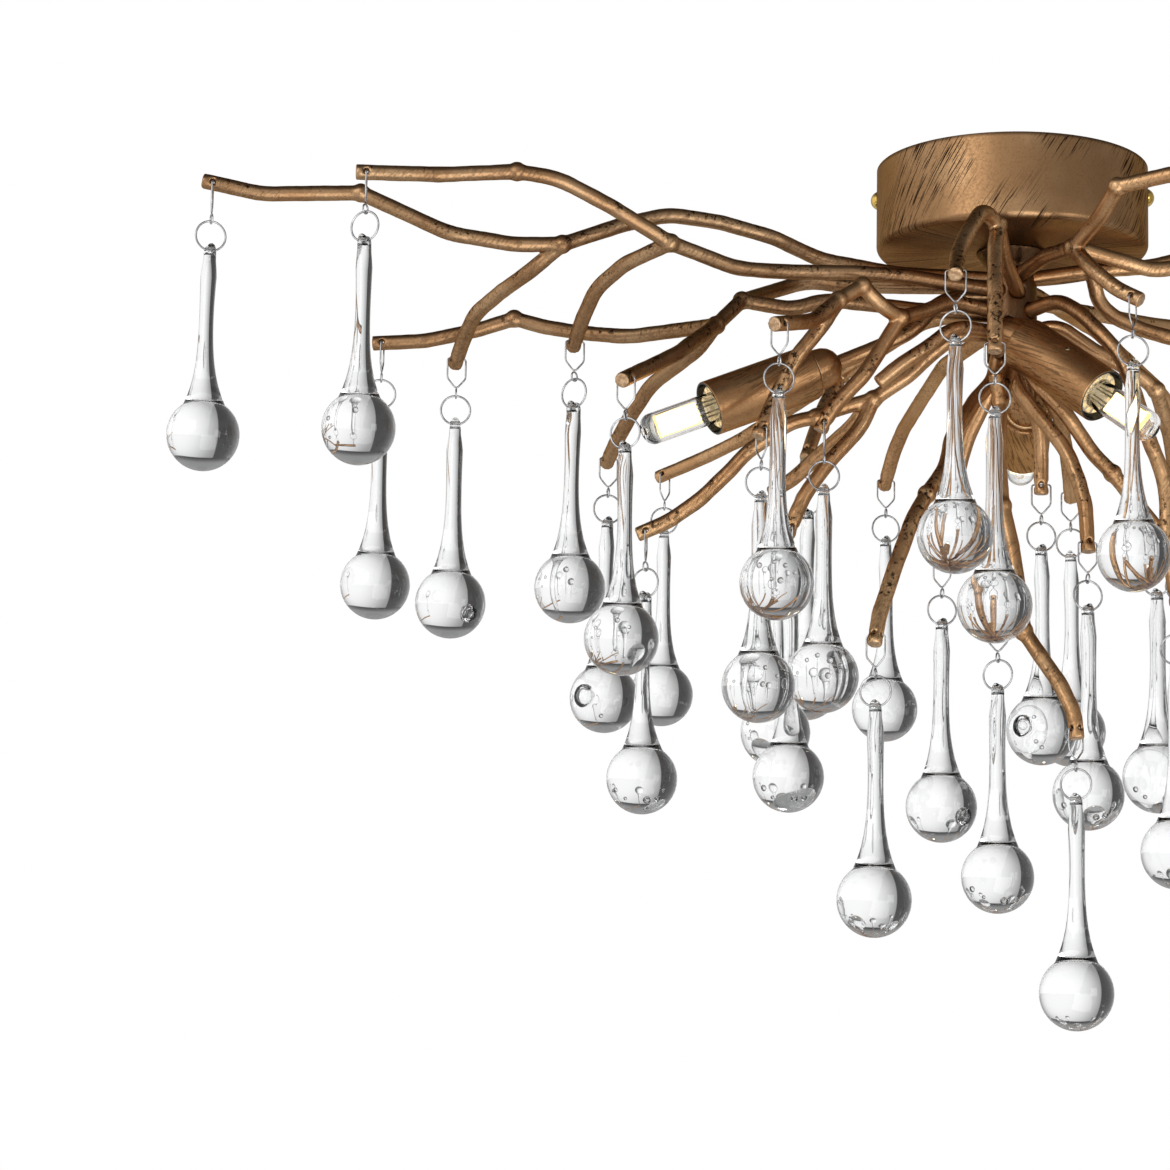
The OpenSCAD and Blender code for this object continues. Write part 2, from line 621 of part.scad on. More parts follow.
// A clip's bends are a little thicker than its wire, and its legs meet side by side
clip_bend_r = clip_wire_d / 2 + 0.08;
clip_neck_x = clip_wire_d * 0.6;

module wire_clip(route, ring_turn) {
    translate(hole_center(route)) {
        rotate([0, 0, hole_turn(route)]) {
            wire_between([-clip_leg_x, 0, 0], [clip_leg_x, 0, 0]);
            for (side = [-1, 1]) {
                leg = [side * clip_leg_x, 0, 0];
                knee = [side * clip_leg_x, 0, -clip_leg_h];
                neck = [side * clip_neck_x, 0, -clip_leg_h - clip_neck_h + clip_wire_d];
                wire_between(leg, knee);
                wire_between(knee, neck);
                translate(leg) sphere(r = clip_bend_r, $fn = 16);
                translate(knee) sphere(r = clip_bend_r, $fn = 16);
            }
        }
        translate([0, 0, -clip_leg_h - clip_neck_h + clip_wire_d * 0.75]) sphere(r = clip_wire_d, $fn = 16);
        translate([0, 0, clip_eye_z]) rotate([90, 0, ring_turn + 90])
            rotate_extrude($fn = 32) translate([clip_eye_d / 2, 0]) circle(d = clip_wire_d, $fn = 16);
    }
}

module wire_clips() {
    color(steel) for (d = DROPS) wire_clip(d[0], d[1]);
}

module drop_rings() {
    color(steel) for (d = DROPS)
        translate(hole_center(d[0]) + [0, 0, pivot_z + ring_d / 2]) rotate([90, 0, d[1]])
            rotate_extrude($fn = 48) translate([ring_d / 2, 0]) circle(d = ring_wire_d, $fn = 16);
}

// Outline of a drop, from its ball up the flared stem to its head
ball_r = ball_d / 2;
crease_r = sqrt(ball_r * ball_r - crease_h * crease_h);
head_z = drop_reach;
ball_steps = 20;
stem_steps = 14;
stem_top_z = head_z - eye_d / 2;
// The crease is this deep and this wide, and the stem flares by this power
crease_depth = 0.7;
crease_w = 0.4;
flare = 5;
function stem_radius(t) = stem_d / 2 + (crease_r - crease_depth - stem_d / 2) * pow(1 - t, flare)
    + (eye_d - stem_d) / 2 * pow(t, flare);

module drop_outline() {
    crease_angle = asin(crease_h / ball_r);
    ball = [for (s = [1 : ball_steps]) let (a = -90 + s * (crease_angle + 90) / ball_steps)
        ball_r * [cos(a), sin(a)]];
    stem = [for (s = [0 : stem_steps]) let (t = s / stem_steps)
        [stem_radius(t), crease_h + crease_w + t * (stem_top_z - crease_h - crease_w)]];
    head = [for (a = [0 : 10 : 80]) [eye_d / 2 * cos(a), head_z + eye_d / 2 * sin(a)]];
    polygon(concat([[0, -ball_r]], ball, stem, head,
        [[0, head_z + eye_d / 2]]));
}

// The drop hangs with its eye round the ring's lowest point
module glass_drop(i) {
    color(glass) translate(pivot(DROPS[i][0])) rotate([0, 0, DROPS[i][1]])
        translate([0, 0, -bore_drop - drop_reach]) difference() {
            rotate_extrude() drop_outline();
            for (side = [-1, 1]) translate([side * (eye_t / 2 + eye_d / 2), 0, head_z + over])
                cube([eye_d, 2 * eye_d, eye_d + 2 * over], center = true);
            translate([0, 0, head_z]) rotate([0, 90, 0])
                cylinder(d = eye_bore_d, h = eye_d + 2 * over, center = true);
        }
}

ceiling_bracket();
canopy();
canopy_screws();
center_nipple();
nipple_nut_and_washer();
terminal_block();
lamp_wires();
hub();
branches(UPPER_LEFT);  // upper_left_branches
branches(FORKED_LEFT);  // forked_left_branch
branches(FRONT);  // front_branches
branches(LOW_LEFT);  // low_left_branches
branches(LOW_CENTER);  // low_center_branches
branches(RIGHT);  // right_branches
branches(BACK);  // back_branches
lamp_arms();
lamp_cups();
lamp_sockets();
lamp_bulbs();
bulb_cores();
wire_clips();
drop_rings();
for (i = [0 : DROP_COUNT - 1])
    glass_drop(i);
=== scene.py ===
import json
import math
import random

import bpy
from mathutils import Matrix, Vector


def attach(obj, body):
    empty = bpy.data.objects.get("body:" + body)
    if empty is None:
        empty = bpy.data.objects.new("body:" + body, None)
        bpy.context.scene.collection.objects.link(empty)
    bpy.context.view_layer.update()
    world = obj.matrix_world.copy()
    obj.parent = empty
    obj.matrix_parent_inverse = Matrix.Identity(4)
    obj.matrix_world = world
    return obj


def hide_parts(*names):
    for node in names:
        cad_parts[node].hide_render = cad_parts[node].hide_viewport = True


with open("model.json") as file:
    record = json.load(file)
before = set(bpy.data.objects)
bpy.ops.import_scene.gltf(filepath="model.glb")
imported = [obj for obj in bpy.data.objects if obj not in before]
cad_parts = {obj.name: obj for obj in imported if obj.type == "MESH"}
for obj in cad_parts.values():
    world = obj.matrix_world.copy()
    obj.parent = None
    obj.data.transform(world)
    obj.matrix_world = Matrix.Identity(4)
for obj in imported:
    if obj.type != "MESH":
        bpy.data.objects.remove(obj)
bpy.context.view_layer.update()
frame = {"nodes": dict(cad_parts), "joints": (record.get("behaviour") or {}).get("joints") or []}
scene = bpy.context.scene
MM = 0.001

# Studio. The camera stands 1.7 m in front of the light and half a metre below the
# ceiling, and looks up at it. The glass shows a bright panel behind it with a dark edge
# to its left and above. The metal mirrors a soft light from the front left.
CAMERA_PLACE = Vector((0, -1.684, -0.505))
CAMERA_TURN, CAMERA_RISE, CAMERA_ROLL = (math.radians(a) for a in (6.356, 10.61, 1.18))

bpy.ops.object.select_all(action="DESELECT")
bpy.ops.object.camera_add(location=CAMERA_PLACE)
camera = bpy.context.object
camera.data.lens = 120
camera.data.sensor_width = 36
camera.matrix_world = (
    Matrix.Translation(CAMERA_PLACE)
    @ Matrix.Rotation(CAMERA_TURN, 4, "Z")
    @ Matrix.Rotation(math.pi / 2 + CAMERA_RISE, 4, "X")
    @ Matrix.Rotation(CAMERA_ROLL, 4, "Z")
)
scene.camera = camera
scene.view_settings.view_transform = "Standard"


def add_node(tree, kind, inputs=None, **settings):
    """Adds a node and gives its outputs. A socket among the inputs is linked to."""
    node = tree.nodes.new(kind)
    for key, value in settings.items():
        setattr(node, key, value)
    for key, value in (inputs or {}).items():
        if isinstance(value, bpy.types.NodeSocket):
            tree.links.new(value, node.inputs[key])
        else:
            node.inputs[key].default_value = value
    return node.outputs


def ranged(tree, value, low, high, to_low=0.0, to_high=1.0):
    """A value that goes softly from one level to another."""
    steps = {"From Min": low, "From Max": high, "To Min": to_low, "To Max": to_high}
    return add_node(tree, "ShaderNodeMapRange", {"Value": value, **steps},
                    interpolation_type="SMOOTHSTEP")[0]


def maths(tree, kind, a, b):
    return add_node(tree, "ShaderNodeMath", {0: a, 1: b}, operation=kind)[0]


def mixed(tree, share, a, b):
    return add_node(tree, "ShaderNodeMixRGB", {0: share, 1: a, 2: b})[0]


def grey(level):
    return (level, level, level * 1.02, 1)


def dotted(tree, way, other):
    return add_node(tree, "ShaderNodeVectorMath", {0: way, 1: other},
                    operation="DOT_PRODUCT")["Value"]


world = bpy.data.worlds.new("studio")
scene.world = world
world.use_nodes = True
sky = world.node_tree
sky.nodes.clear()
ray = add_node(sky, "ShaderNodeTexCoord")["Generated"]
rise = add_node(sky, "ShaderNodeSeparateXYZ", {0: ray})["Z"]
flat_ray = add_node(sky, "ShaderNodeVectorMath", {0: ray, 1: (1, 1, 0)},
                    operation="MULTIPLY")[0]
level_ray = add_node(sky, "ShaderNodeVectorMath", {0: flat_ray}, operation="NORMALIZE")[0]

# What the glass shows: the panel behind it, dark to the left and dark at the top
PANEL_WAY, EDGE_WAY, DARK_WAY = (0.42, 0.905, 0.06), (-0.839, 0.545, 0), (-0.485, 0.875, 0)
panel = ranged(sky, dotted(sky, ray, PANEL_WAY), 0.52, 0.98, 0.3, 0.98)
dark_side = ranged(sky, dotted(sky, level_ray, DARK_WAY), 0.56, 1.0, 0.22, 0.045)
past_edge = ranged(sky, dotted(sky, level_ray, EDGE_WAY), 0.875, 0.89)
behind = mixed(sky, past_edge, panel, dark_side)
dark_top = ranged(sky, rise, 0.66, 0.8, 0.04, 0.24)
behind = mixed(sky, ranged(sky, rise, 0.64, 0.66), behind, dark_top)

# What the metal mirrors: the soft light, a little of a pale floor, and a dark ceiling
SOFT_LIGHT_WAY, PALE_FLOOR, DARK_CEILING = (-0.74, -0.64, 0.2), 0.95, 0.12
before = ranged(sky, dotted(sky, ray, SOFT_LIGHT_WAY), -0.15, 0.98, 0.4, 1.12)
before = mixed(sky, ranged(sky, rise, -0.5, -0.1, 0.38, 0), before, grey(PALE_FLOOR))
before = mixed(sky, ranged(sky, rise, 0.4, 0.85), before, grey(DARK_CEILING))

sky_path = add_node(sky, "ShaderNodeLightPath")
shade = mixed(sky, sky_path["Is Transmission Ray"], before, behind)
shade = mixed(sky, sky_path["Is Camera Ray"], shade, (1, 1, 1, 1))
shine = add_node(sky, "ShaderNodeBackground", {"Color": shade})[0]
add_node(sky, "ShaderNodeOutputWorld", {"Surface": shine})

# Three area lamps, as (place, size, power): front left, low front right and right
STUDIO_LAMPS = (
    ((-1.2, -1.7, 0.35), 1.1, 6),
    ((0.45, -1.2, -1.1), 1.5, 14),
    ((1.7, -1.3, -0.3), 0.8, 5),
)
LAMP_AIM = Vector((0, 0, -0.12))
for place, size, power in STUDIO_LAMPS:
    bpy.ops.object.light_add(type="AREA", location=place)
    lamp = bpy.context.object
    lamp.data.size = size
    lamp.data.energy = power
    lamp.visible_camera = False
    aim = LAMP_AIM - Vector(place)
    lamp.rotation_euler = aim.to_track_quat("-Z", "Y").to_euler()

# The floor. The glass and the metal see past it, and so does an eye below. An eye above
# sees it through a pale haze, with soft shadows on it.
FLOOR_DEPTH, FLOOR_SIZE, HAZE_SHARE = 2.6, 90, 0.7
bpy.ops.mesh.primitive_plane_add(size=FLOOR_SIZE, location=(0, 0, -FLOOR_DEPTH))
floor = bpy.context.object
floor.name = "floor"
pale = bpy.data.materials.new("pale_floor")
pale.use_nodes = True
ground = pale.node_tree
ground.nodes.clear()
floor_path = add_node(ground, "ShaderNodeLightPath")
below = add_node(ground, "ShaderNodeNewGeometry")["Backfacing"]
unseen = maths(ground, "MAXIMUM", floor_path["Is Transmission Ray"], floor_path["Is Glossy Ray"])
unseen = maths(ground, "MAXIMUM", unseen, below)
paint = add_node(ground, "ShaderNodeBsdfDiffuse", {"Color": (0.93, 0.93, 0.93, 1)})[0]
haze = add_node(ground, "ShaderNodeEmission", {"Color": (0.95, 0.95, 0.95, 1)})[0]
clear = add_node(ground, "ShaderNodeBsdfTransparent")[0]
haze_share = maths(ground, "MULTIPLY", floor_path["Is Camera Ray"], HAZE_SHARE)
hazy_paint = add_node(ground, "ShaderNodeMixShader", {0: haze_share, 1: paint, 2: haze})[0]
shown = add_node(ground, "ShaderNodeMixShader", {0: unseen, 1: hazy_paint, 2: clear})[0]
add_node(ground, "ShaderNodeOutputMaterial", {"Surface": shown})
floor.data.materials.append(pale)


# Ceiling bracket. A crossbar of zinc plated steel, screwed to the ceiling, with an ear
# bent down at each end for the side screws of the canopy.
def only(piece):
    """Selects one piece alone and makes it the active one."""
    bpy.ops.object.select_all(action="DESELECT")
    piece.select_set(True)
    bpy.context.view_layer.objects.active = piece


def modify(piece, kind, **settings):
    """Gives a piece a modifier of a kind, with its settings, and applies it."""
    only(piece)
    bpy.ops.object.modifier_add(type=kind)
    modifier = piece.modifiers[-1]
    for key, value in settings.items():
        setattr(modifier, key, value)
    bpy.ops.object.modifier_apply(modifier=modifier.name)


def merged_copy(node, name):
    """A copy of a solid from the frame, with its loose triangles joined."""
    piece = bpy.data.objects.new(name, frame["nodes"][node].data.copy())
    scene.collection.objects.link(piece)
    only(piece)
    bpy.ops.object.mode_set(mode="EDIT")
    bpy.ops.mesh.select_all(action="SELECT")
    bpy.ops.mesh.remove_doubles(threshold=0.00001)
    bpy.ops.mesh.customdata_custom_splitnormals_clear()
    bpy.ops.object.mode_set(mode="OBJECT")
    piece.data.materials.clear()
    return piece


def fit(piece, node, slot, *materials):
    """Puts a piece of the fixture in the place of its plain solid."""
    for material in materials:
        piece.data.materials.append(material)
    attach(piece, "fixture")
    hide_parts(node)


def smooth(piece, degrees):
    """Shades a piece smooth, but for its edges that turn by more than an angle."""
    only(piece)
    bpy.ops.object.shade_smooth_by_angle(angle=math.radians(degrees))


def new_material(name, **constants):
    """A material with its shader's plain values set. Gives it with its tree and shader."""
    material = bpy.data.materials.new(name)
    material.use_nodes = True
    shader = material.node_tree.nodes["Principled BSDF"]
    for key, value in constants.items():
        shader.inputs[key.replace("_", " ")].default_value = value
    return material, material.node_tree, shader


def own_place(tree):
    return add_node(tree, "ShaderNodeTexCoord")["Object"]


def noise(tree, place, scale, detail=2.0, roughness=0.5):
    return add_node(tree, "ShaderNodeTexNoise", {
        "Vector": place, "Scale": scale, "Detail": detail, "Roughness": roughness})[0]


def bump(tree, shader, height, distance, strength=0.5):
    """Makes a surface look uneven to a depth in metres."""
    normal = add_node(tree, "ShaderNodeBump", {
        "Height": height, "Distance": distance, "Strength": strength})[0]
    tree.links.new(normal, shader.inputs["Normal"])


def mottled(name, low, high, scale, rough=(0.3, 0.5), depth=0.00005, **constants):
    """A finish whose colour and gloss go from spot to spot between two levels."""
    material, tree, shader = new_material(name, **constants)
    spots = noise(tree, own_place(tree), scale, 4.0, 0.6)
    tree.links.new(mixed(tree, ranged(tree, spots, 0.35, 0.65), low, high),
                   shader.inputs["Base Color"])
    tree.links.new(ranged(tree, spots, 0.3, 0.7, *rough), shader.inputs["Roughness"])
    bump(tree, shader, spots, depth)
    return material


zinc = mottled("zinc_plate", (0.42, 0.43, 0.45, 1), (0.62, 0.62, 0.62, 1), 220,
               (0.28, 0.42), Metallic=1.0)
bracket = merged_copy("ceiling_bracket", "ceiling_crossbar")
modify(bracket, "BEVEL", width=0.3 * MM, segments=2)
smooth(bracket, 40)
fit(bracket, "ceiling_bracket", "bracket_steel", zinc)

# Canopy. A deep round pan spun from sheet steel and coated in aged gold, with dark
# brush marks that run slantwise over its wall. Two screws hold it to the bracket.
CANOPY_R, CANOPY_H, CANOPY_WALL, LIP_R = 60, 38, 1.5, 3
RIM_SHADE, RIM_FROM, RIM_TO, RIM_SHARE = (0.05, 0.027, 0.014, 1), -2.2, -0.4, 0.85
BLACK_MARK = (0.022, 0.012, 0.007, 1)


def turned(name, outline, sides=48):
    """Turns a closed solid about the z axis, as on a lathe: a small disc is extruded
    and resized from ring to ring of an outline of (radius, height) in mm."""
    radius, height = outline[0]
    bpy.ops.object.select_all(action="DESELECT")
    bpy.ops.mesh.primitive_circle_add(vertices=sides, radius=radius * MM, fill_type="TRIFAN")
    piece = bpy.context.object
    piece.name = name
    bpy.ops.object.mode_set(mode="EDIT")
    bpy.ops.transform.translate(value=(0, 0, height * MM))
    for next_radius, next_height in outline[1:]:
        bpy.ops.mesh.extrude_region_move(
            TRANSFORM_OT_translate={"value": (0, 0, (next_height - height) * MM)})
        share = next_radius / radius
        bpy.ops.transform.resize(value=(share, share, 1),
                                 center_override=(0, 0, next_height * MM))
        radius, height = next_radius, next_height
    bpy.ops.mesh.select_all(action="SELECT")
    bpy.ops.mesh.normals_make_consistent(inside=False)
    bpy.ops.object.mode_set(mode="OBJECT")
    return piece


def arc(center_r, center_z, radius, start, end, steps):
    """Points of an outline along an arc, with its angles in degrees."""
    angles = [math.radians(start + (end - start) * k / steps) for k in range(steps + 1)]
    return [(center_r + radius * math.cos(a), center_z + radius * math.sin(a)) for a in angles]


def aged_gold_group():
    """The aged gold coat: clouds of lighter gold, a fine grain, dark brush strokes, black
    specks in patches, and a darker side that faces up: painted shade, partly patina."""
    group = bpy.data.node_groups.new("aged_gold_coat", "ShaderNodeTree")
    inputs = (("Place", "Vector"), ("Stroke Place", "Vector"), ("Gold", "Color"),
              ("Light Gold", "Color"), ("Wash And Shade", "Color"), ("Strokes", "Float"),
              ("Specks", "Float"), ("Upper Shade And Patina", "Float"))
    for name, kind in inputs:
        group.interface.new_socket(name, in_out="INPUT", socket_type="NodeSocket" + kind)
    for name, kind in (("Color", "Color"), ("Roughness", "Float"), ("Height", "Float")):
        group.interface.new_socket(name, in_out="OUTPUT", socket_type="NodeSocket" + kind)
    given = add_node(group, "NodeGroupInput")
    place = given["Place"]
    normal = add_node(group, "ShaderNodeNewGeometry")["Normal"]
    upward = add_node(group, "ShaderNodeSeparateXYZ", {0: normal})["Z"]
    clouds = noise(group, place, 32, 3.0)
    grain = noise(group, place, 900, 3.0, 0.6)
    coat = mixed(group, ranged(group, clouds, 0.38, 0.68), given["Gold"], given["Light Gold"])
    worn = maths(group, "MULTIPLY", ranged(group, grain, 0.45, 0.75), 0.3)
    coat = mixed(group, worn, coat, given["Wash And Shade"])
    # Painted shade, partly patina: the coat darkens on faces that look up.
    upper_shade_and_patina = maths(group, "MULTIPLY", ranged(group, upward, 0.1, 0.85), given["Upper Shade And Patina"])
    coat = mixed(group, upper_shade_and_patina, coat, given["Wash And Shade"])
    strokes = ranged(group, noise(group, given["Stroke Place"], 1.0, 1.0, 0.4), 0.54, 0.61)
    clusters = ranged(group, noise(group, place, 22, 1.0), 0.39, 0.51)
    strokes = maths(group, "MULTIPLY", strokes, clusters)
    strokes = maths(group, "MULTIPLY", strokes, given["Strokes"])
    specks = ranged(group, noise(group, place, 420, 5.0, 0.7), 0.53, 0.58)
    patches = ranged(group, noise(group, place, 42, 2.0), 0.48, 0.56)
    patches = maths(group, "MULTIPLY", patches, ranged(group, upward, -0.6, 0.2, 0.25, 1.0))
    specks = maths(group, "MULTIPLY", maths(group, "MULTIPLY", specks, patches), given["Specks"])
    marks = maths(group, "MAXIMUM", strokes, specks)
    coat = mixed(group, marks, coat, BLACK_MARK)
    rough = maths(group, "ADD", ranged(group, grain, 0.3, 0.7, 0.27, 0.39),
                  maths(group, "MULTIPLY", marks, 0.25))
    height = maths(group, "SUBTRACT", maths(group, "MULTIPLY", grain, 0.25), marks)
    add_node(group, "NodeGroupOutput", {"Color": coat, "Roughness": rough, "Height": height})
    return group


AGED_GOLD = aged_gold_group()


def round_wall(tree):
    """Places on a round wall: the way round it from the front, and the height."""
    parts = add_node(tree, "ShaderNodeSeparateXYZ", {0: own_place(tree)})
    front = maths(tree, "MULTIPLY", parts["Y"], -1)
    angle = maths(tree, "ARCTAN2", parts["X"], front)
    way_round = maths(tree, "MULTIPLY", angle, CANOPY_R * MM)
    return add_node(tree, "ShaderNodeCombineXYZ", {"X": way_round, "Z": parts["Z"]})[0]


def gold_coat(name, gold, light, wash_and_shade, strokes, specks, upper_shade_and_patina, turn=(0, -0.95, 0),
              marks=(18, 1.1), wrapped=None):
    """Aged gold in given tones. The brush marks are of a given length and width in mm, and
    lie on the places that a wrapping function gives, or else on the piece's own."""
    material, tree, shader = new_material(name, Metallic=0.92,
                                          Specular_Tint=(0.8, 0.56, 0.36, 1))
    place = own_place(tree)
    long_mark, thin_mark = (m * MM for m in marks)
    strokes_place = add_node(tree, "ShaderNodeMapping", {
        "Vector": wrapped(tree) if wrapped else place, "Rotation": turn,
        "Scale": (long_mark, thin_mark, thin_mark)}, vector_type="TEXTURE")[0]
    coat = add_node(tree, "ShaderNodeGroup", node_tree=AGED_GOLD)[0].node
    for key, value in (("Gold", gold), ("Light Gold", light), ("Wash And Shade", wash_and_shade)):
        coat.inputs[key].default_value = (*value, 1)
    for key, value in (("Strokes", strokes), ("Specks", specks), ("Upper Shade And Patina", upper_shade_and_patina)):
        coat.inputs[key].default_value = value
    tree.links.new(place, coat.inputs["Place"])
    tree.links.new(strokes_place, coat.inputs["Stroke Place"])
    tree.links.new(coat.outputs["Color"], shader.inputs["Base Color"])
    tree.links.new(coat.outputs["Roughness"], shader.inputs["Roughness"])
    bump(tree, shader, coat.outputs["Height"], 0.00012)
    return material


def shade_rim(material):
    """Lets the coat go dark at the rim, where it meets the ceiling."""
    tree = material.node_tree
    coated = tree.nodes["Principled BSDF"].inputs["Base Color"]
    height = add_node(tree, "ShaderNodeSeparateXYZ", {0: own_place(tree)})["Z"]
    share = ranged(tree, height, RIM_FROM * MM, RIM_TO * MM, 0, RIM_SHARE)
    tree.links.new(mixed(tree, share, coated.links[0].from_socket, RIM_SHADE), coated)


brushed_gold = gold_coat("brushed_gold", (0.3, 0.167, 0.078), (0.39, 0.235, 0.12),
                         (0.1, 0.05, 0.023), strokes=1.0, specks=0.1, upper_shade_and_patina=0.35,
                         turn=(0, -1.0, 0), marks=(17, 0.62), wrapped=round_wall)
shade_rim(brushed_gold)
lip_mid = CANOPY_R - LIP_R
pan = [(0.5, -CANOPY_H), (20, -CANOPY_H), (40, -CANOPY_H)]
pan += arc(lip_mid, -CANOPY_H + LIP_R, LIP_R, -90, 0, 6)
pan += [(CANOPY_R, -25), (CANOPY_R, -12), (CANOPY_R, -0.3), (CANOPY_R - 0.3, 0)]
pan += [(CANOPY_R - CANOPY_WALL, 0), (CANOPY_R - CANOPY_WALL, -CANOPY_H + LIP_R)]
pan += [(lip_mid - 1, -CANOPY_H + CANOPY_WALL), (0.5, -CANOPY_H + CANOPY_WALL)]
canopy = turned("canopy_pan", pan, 128)
smooth(canopy, 40)
fit(canopy, "canopy", "brushed_gold", brushed_gold)

# Side screws. Brass, each with a low polished dome for a head. One on each side goes
# through the canopy's wall into an ear of the bracket and holds the canopy up.
brass = mottled("polished_brass", (0.66, 0.42, 0.1, 1), (0.86, 0.62, 0.2, 1), 160,
                (0.08, 0.2), 0.00002, Metallic=1.0)
screws = merged_copy("canopy_screws", "dome_head_screws")
smooth(screws, 35)
fit(screws, "canopy_screws", "polished_brass", brass)

# Threaded tube with its nut and washer, inside the canopy. They clamp the hub to the
# canopy's floor, and the wires run through the tube.
tube = merged_copy("center_nipple", "threaded_tube")
smooth(tube, 35)
fit(tube, "center_nipple", "bracket_steel", zinc)
nut = merged_copy("nipple_nut_and_washer", "nut_and_washer")
smooth(nut, 35)
fit(nut, "nipple_nut_and_washer", "bracket_steel", zinc)

# Terminal block. Moulded ivory plastic, with a screw well over each of its three poles,
# where the wires of the house and of the lamps meet.
ivory = mottled("ivory_plastic", (0.72, 0.66, 0.53, 1), (0.8, 0.75, 0.63, 1), 700, (0.4, 0.55))
block = merged_copy("terminal_block", "wire_block")
smooth(block, 30)
fit(block, "terminal_block", "block_plastic", ivory)

# Lamp wires. Copper in white insulation. They run from the block through the tube and
# the hub into each lamp arm.
insulation = mottled("white_insulation", (0.74, 0.74, 0.72, 1), (0.84, 0.84, 0.82, 1), 400,
                     (0.45, 0.6))
wires = merged_copy("lamp_wires", "white_wires")
smooth(wires, 40)
fit(wires, "lamp_wires", "wire_insulation", insulation)

# Hub. A steel post with a collar under the canopy. The roots of all branches are
# welded round it, and filler smooths the welds before the coat goes on. Its gold coat
# is painted very dark, as painted shade for the shadow under the canopy.
# Painted shade: a very dark copy of the aged gold coat stands in for the shadow under the
# canopy.
dark_gold = gold_coat("dark_gold", (0.1, 0.053, 0.026), (0.16, 0.09, 0.044),
                      (0.04, 0.02, 0.01), strokes=0.4, specks=0.8, upper_shade_and_patina=0.6)
WAVE_LENGTH = 9


def welded_metal(node, name, voxel, unevenness):
    """Steel rods as the welder leaves them: a solid's copy gets soft fillets at its welds,
    and a surface that is a little uneven, from bending and filing by hand."""
    piece = merged_copy(node, name)
    modify(piece, "REMESH", mode="VOXEL", voxel_size=voxel * MM)
    modify(piece, "SMOOTH", factor=0.5, iterations=4)
    waves = bpy.data.textures.new(name + "_waves", "CLOUDS")
    waves.noise_scale = WAVE_LENGTH * MM
    modify(piece, "DISPLACE", texture=waves, texture_coords="OBJECT",
           strength=unevenness * MM, mid_level=0.4)
    only(piece)
    bpy.ops.object.shade_smooth()
    return piece


hub = welded_metal("hub", "hub_post", voxel=0.6, unevenness=0.3)
fit(hub, "hub", "dark_gold", dark_gold)

# Branches. Bent steel rods that fork into twigs, with a filed weld at each fork. Each
# tip is drilled for its wire clip, and the sawn end is coated more lightly. The long
# rods to the left get a darker copy of the same coat: painted shade, so they look less lit.
HOLE_ABOVE_PIVOT, TIP_LENGTH = 30.65, 4.5
TIP_REACH, END_WITHIN, SAWN_FROM, SAWN_FACING = 6.5, 0.06, 4.0, 0.75
BRANCHES = ("upper_left", "forked_left", "front", "low_left", "low_center", "right", "back")
LONG_BRANCHES = ("upper_left", "forked_left")

rod_gold = gold_coat("rod_gold", (0.46, 0.255, 0.12), (0.62, 0.385, 0.2),
                     (0.13, 0.065, 0.032), strokes=0.35, specks=0.95, upper_shade_and_patina=0.75,
                     marks=(7, 0.9))
# Painted shade: a darker copy of the rods' coat, for the long rods to the left.
painted_shade_rod_gold = gold_coat("painted_shade_rod_gold", (0.34, 0.19, 0.093), (0.45, 0.285, 0.155),
                          (0.1, 0.05, 0.025), strokes=0.35, specks=0.95, upper_shade_and_patina=0.75,
                          marks=(7, 0.9))
cut_end = mottled("sawn_rod_end", (0.34, 0.2, 0.105, 1), (0.62, 0.43, 0.26, 1), 500,
                  (0.35, 0.5), Metallic=0.85)
hole_rise = Vector((0, 0, HOLE_ABOVE_PIVOT * MM))
holes = [Vector(joint["pos_m"]) + hole_rise for joint in frame["joints"]]
tip_ways = [None] * len(holes)


def find_tip_ways(solid):
    """Finds the way each tip points: a tip's flat end lies a set length from its hole."""
    for face in solid.data.polygons:
        for k, hole in enumerate(holes):
            away = face.center - hole
            along = face.normal.dot(away)
            if (away.length < TIP_REACH * MM
                    and abs(abs(along) - TIP_LENGTH * MM) < END_WITHIN * MM):
                tip_ways[k] = face.normal * math.copysign(1, along)


def coat_sawn_ends(twigs):
    """Gives the second finish to the faces that look out of a tip's end."""
    for face in twigs.data.polygons:
        for hole, way in zip(holes, tip_ways):
            if way is None:
                continue
            away = face.center - hole
            if (away.length < TIP_REACH * MM and away.dot(way) > SAWN_FROM * MM
                    and face.normal.dot(way) > SAWN_FACING):
                face.material_index = 1


for group in BRANCHES:
    node = group + ("_branch" if group == "forked_left" else "_branches")
    find_tip_ways(frame["nodes"][node])
    twigs = welded_metal(node, group + "_rods", voxel=0.71, unevenness=0.35)
    coat = painted_shade_rod_gold if group in LONG_BRANCHES else rod_gold
    fit(twigs, node, "antique_gold", coat, cut_end)
    coat_sawn_ends(twigs)

# Lamp arms. Three hollow steel rods that carry the lamps and their wires. They are welded
# to the hub and coated with the branches.
arms = welded_metal("lamp_arms", "lamp_arm_rods", voxel=0.55, unevenness=0.25)
fit(arms, "lamp_arms", "antique_gold", rod_gold)

# Lamp cups. Each is a turned steel cup, coated as the canopy is, on a round-backed collar
# that is screwed to its arm, with a dark joint between. Its inside is painted black, as
# painted shade in the gap round the socket, and there is a set screw hole in its wall.
LAMPS = (
    ((-72, -28, -93), (-87, -34, -100)),
    ((-4, -22, -78), (5.5, -29, -86.5)),
    ((7, 24, -97), (6.5, 40, -99.5)),
)
CUP_R, CUP_H, CUP_WALL = 12, 50, 1
COLLAR_R, COLLAR_END, JOINT_R = 9, -13.5, 7.8
SET_SCREW_R, SET_SCREW_H, SET_SCREW_TURN = 1.2, 27, math.radians(40)


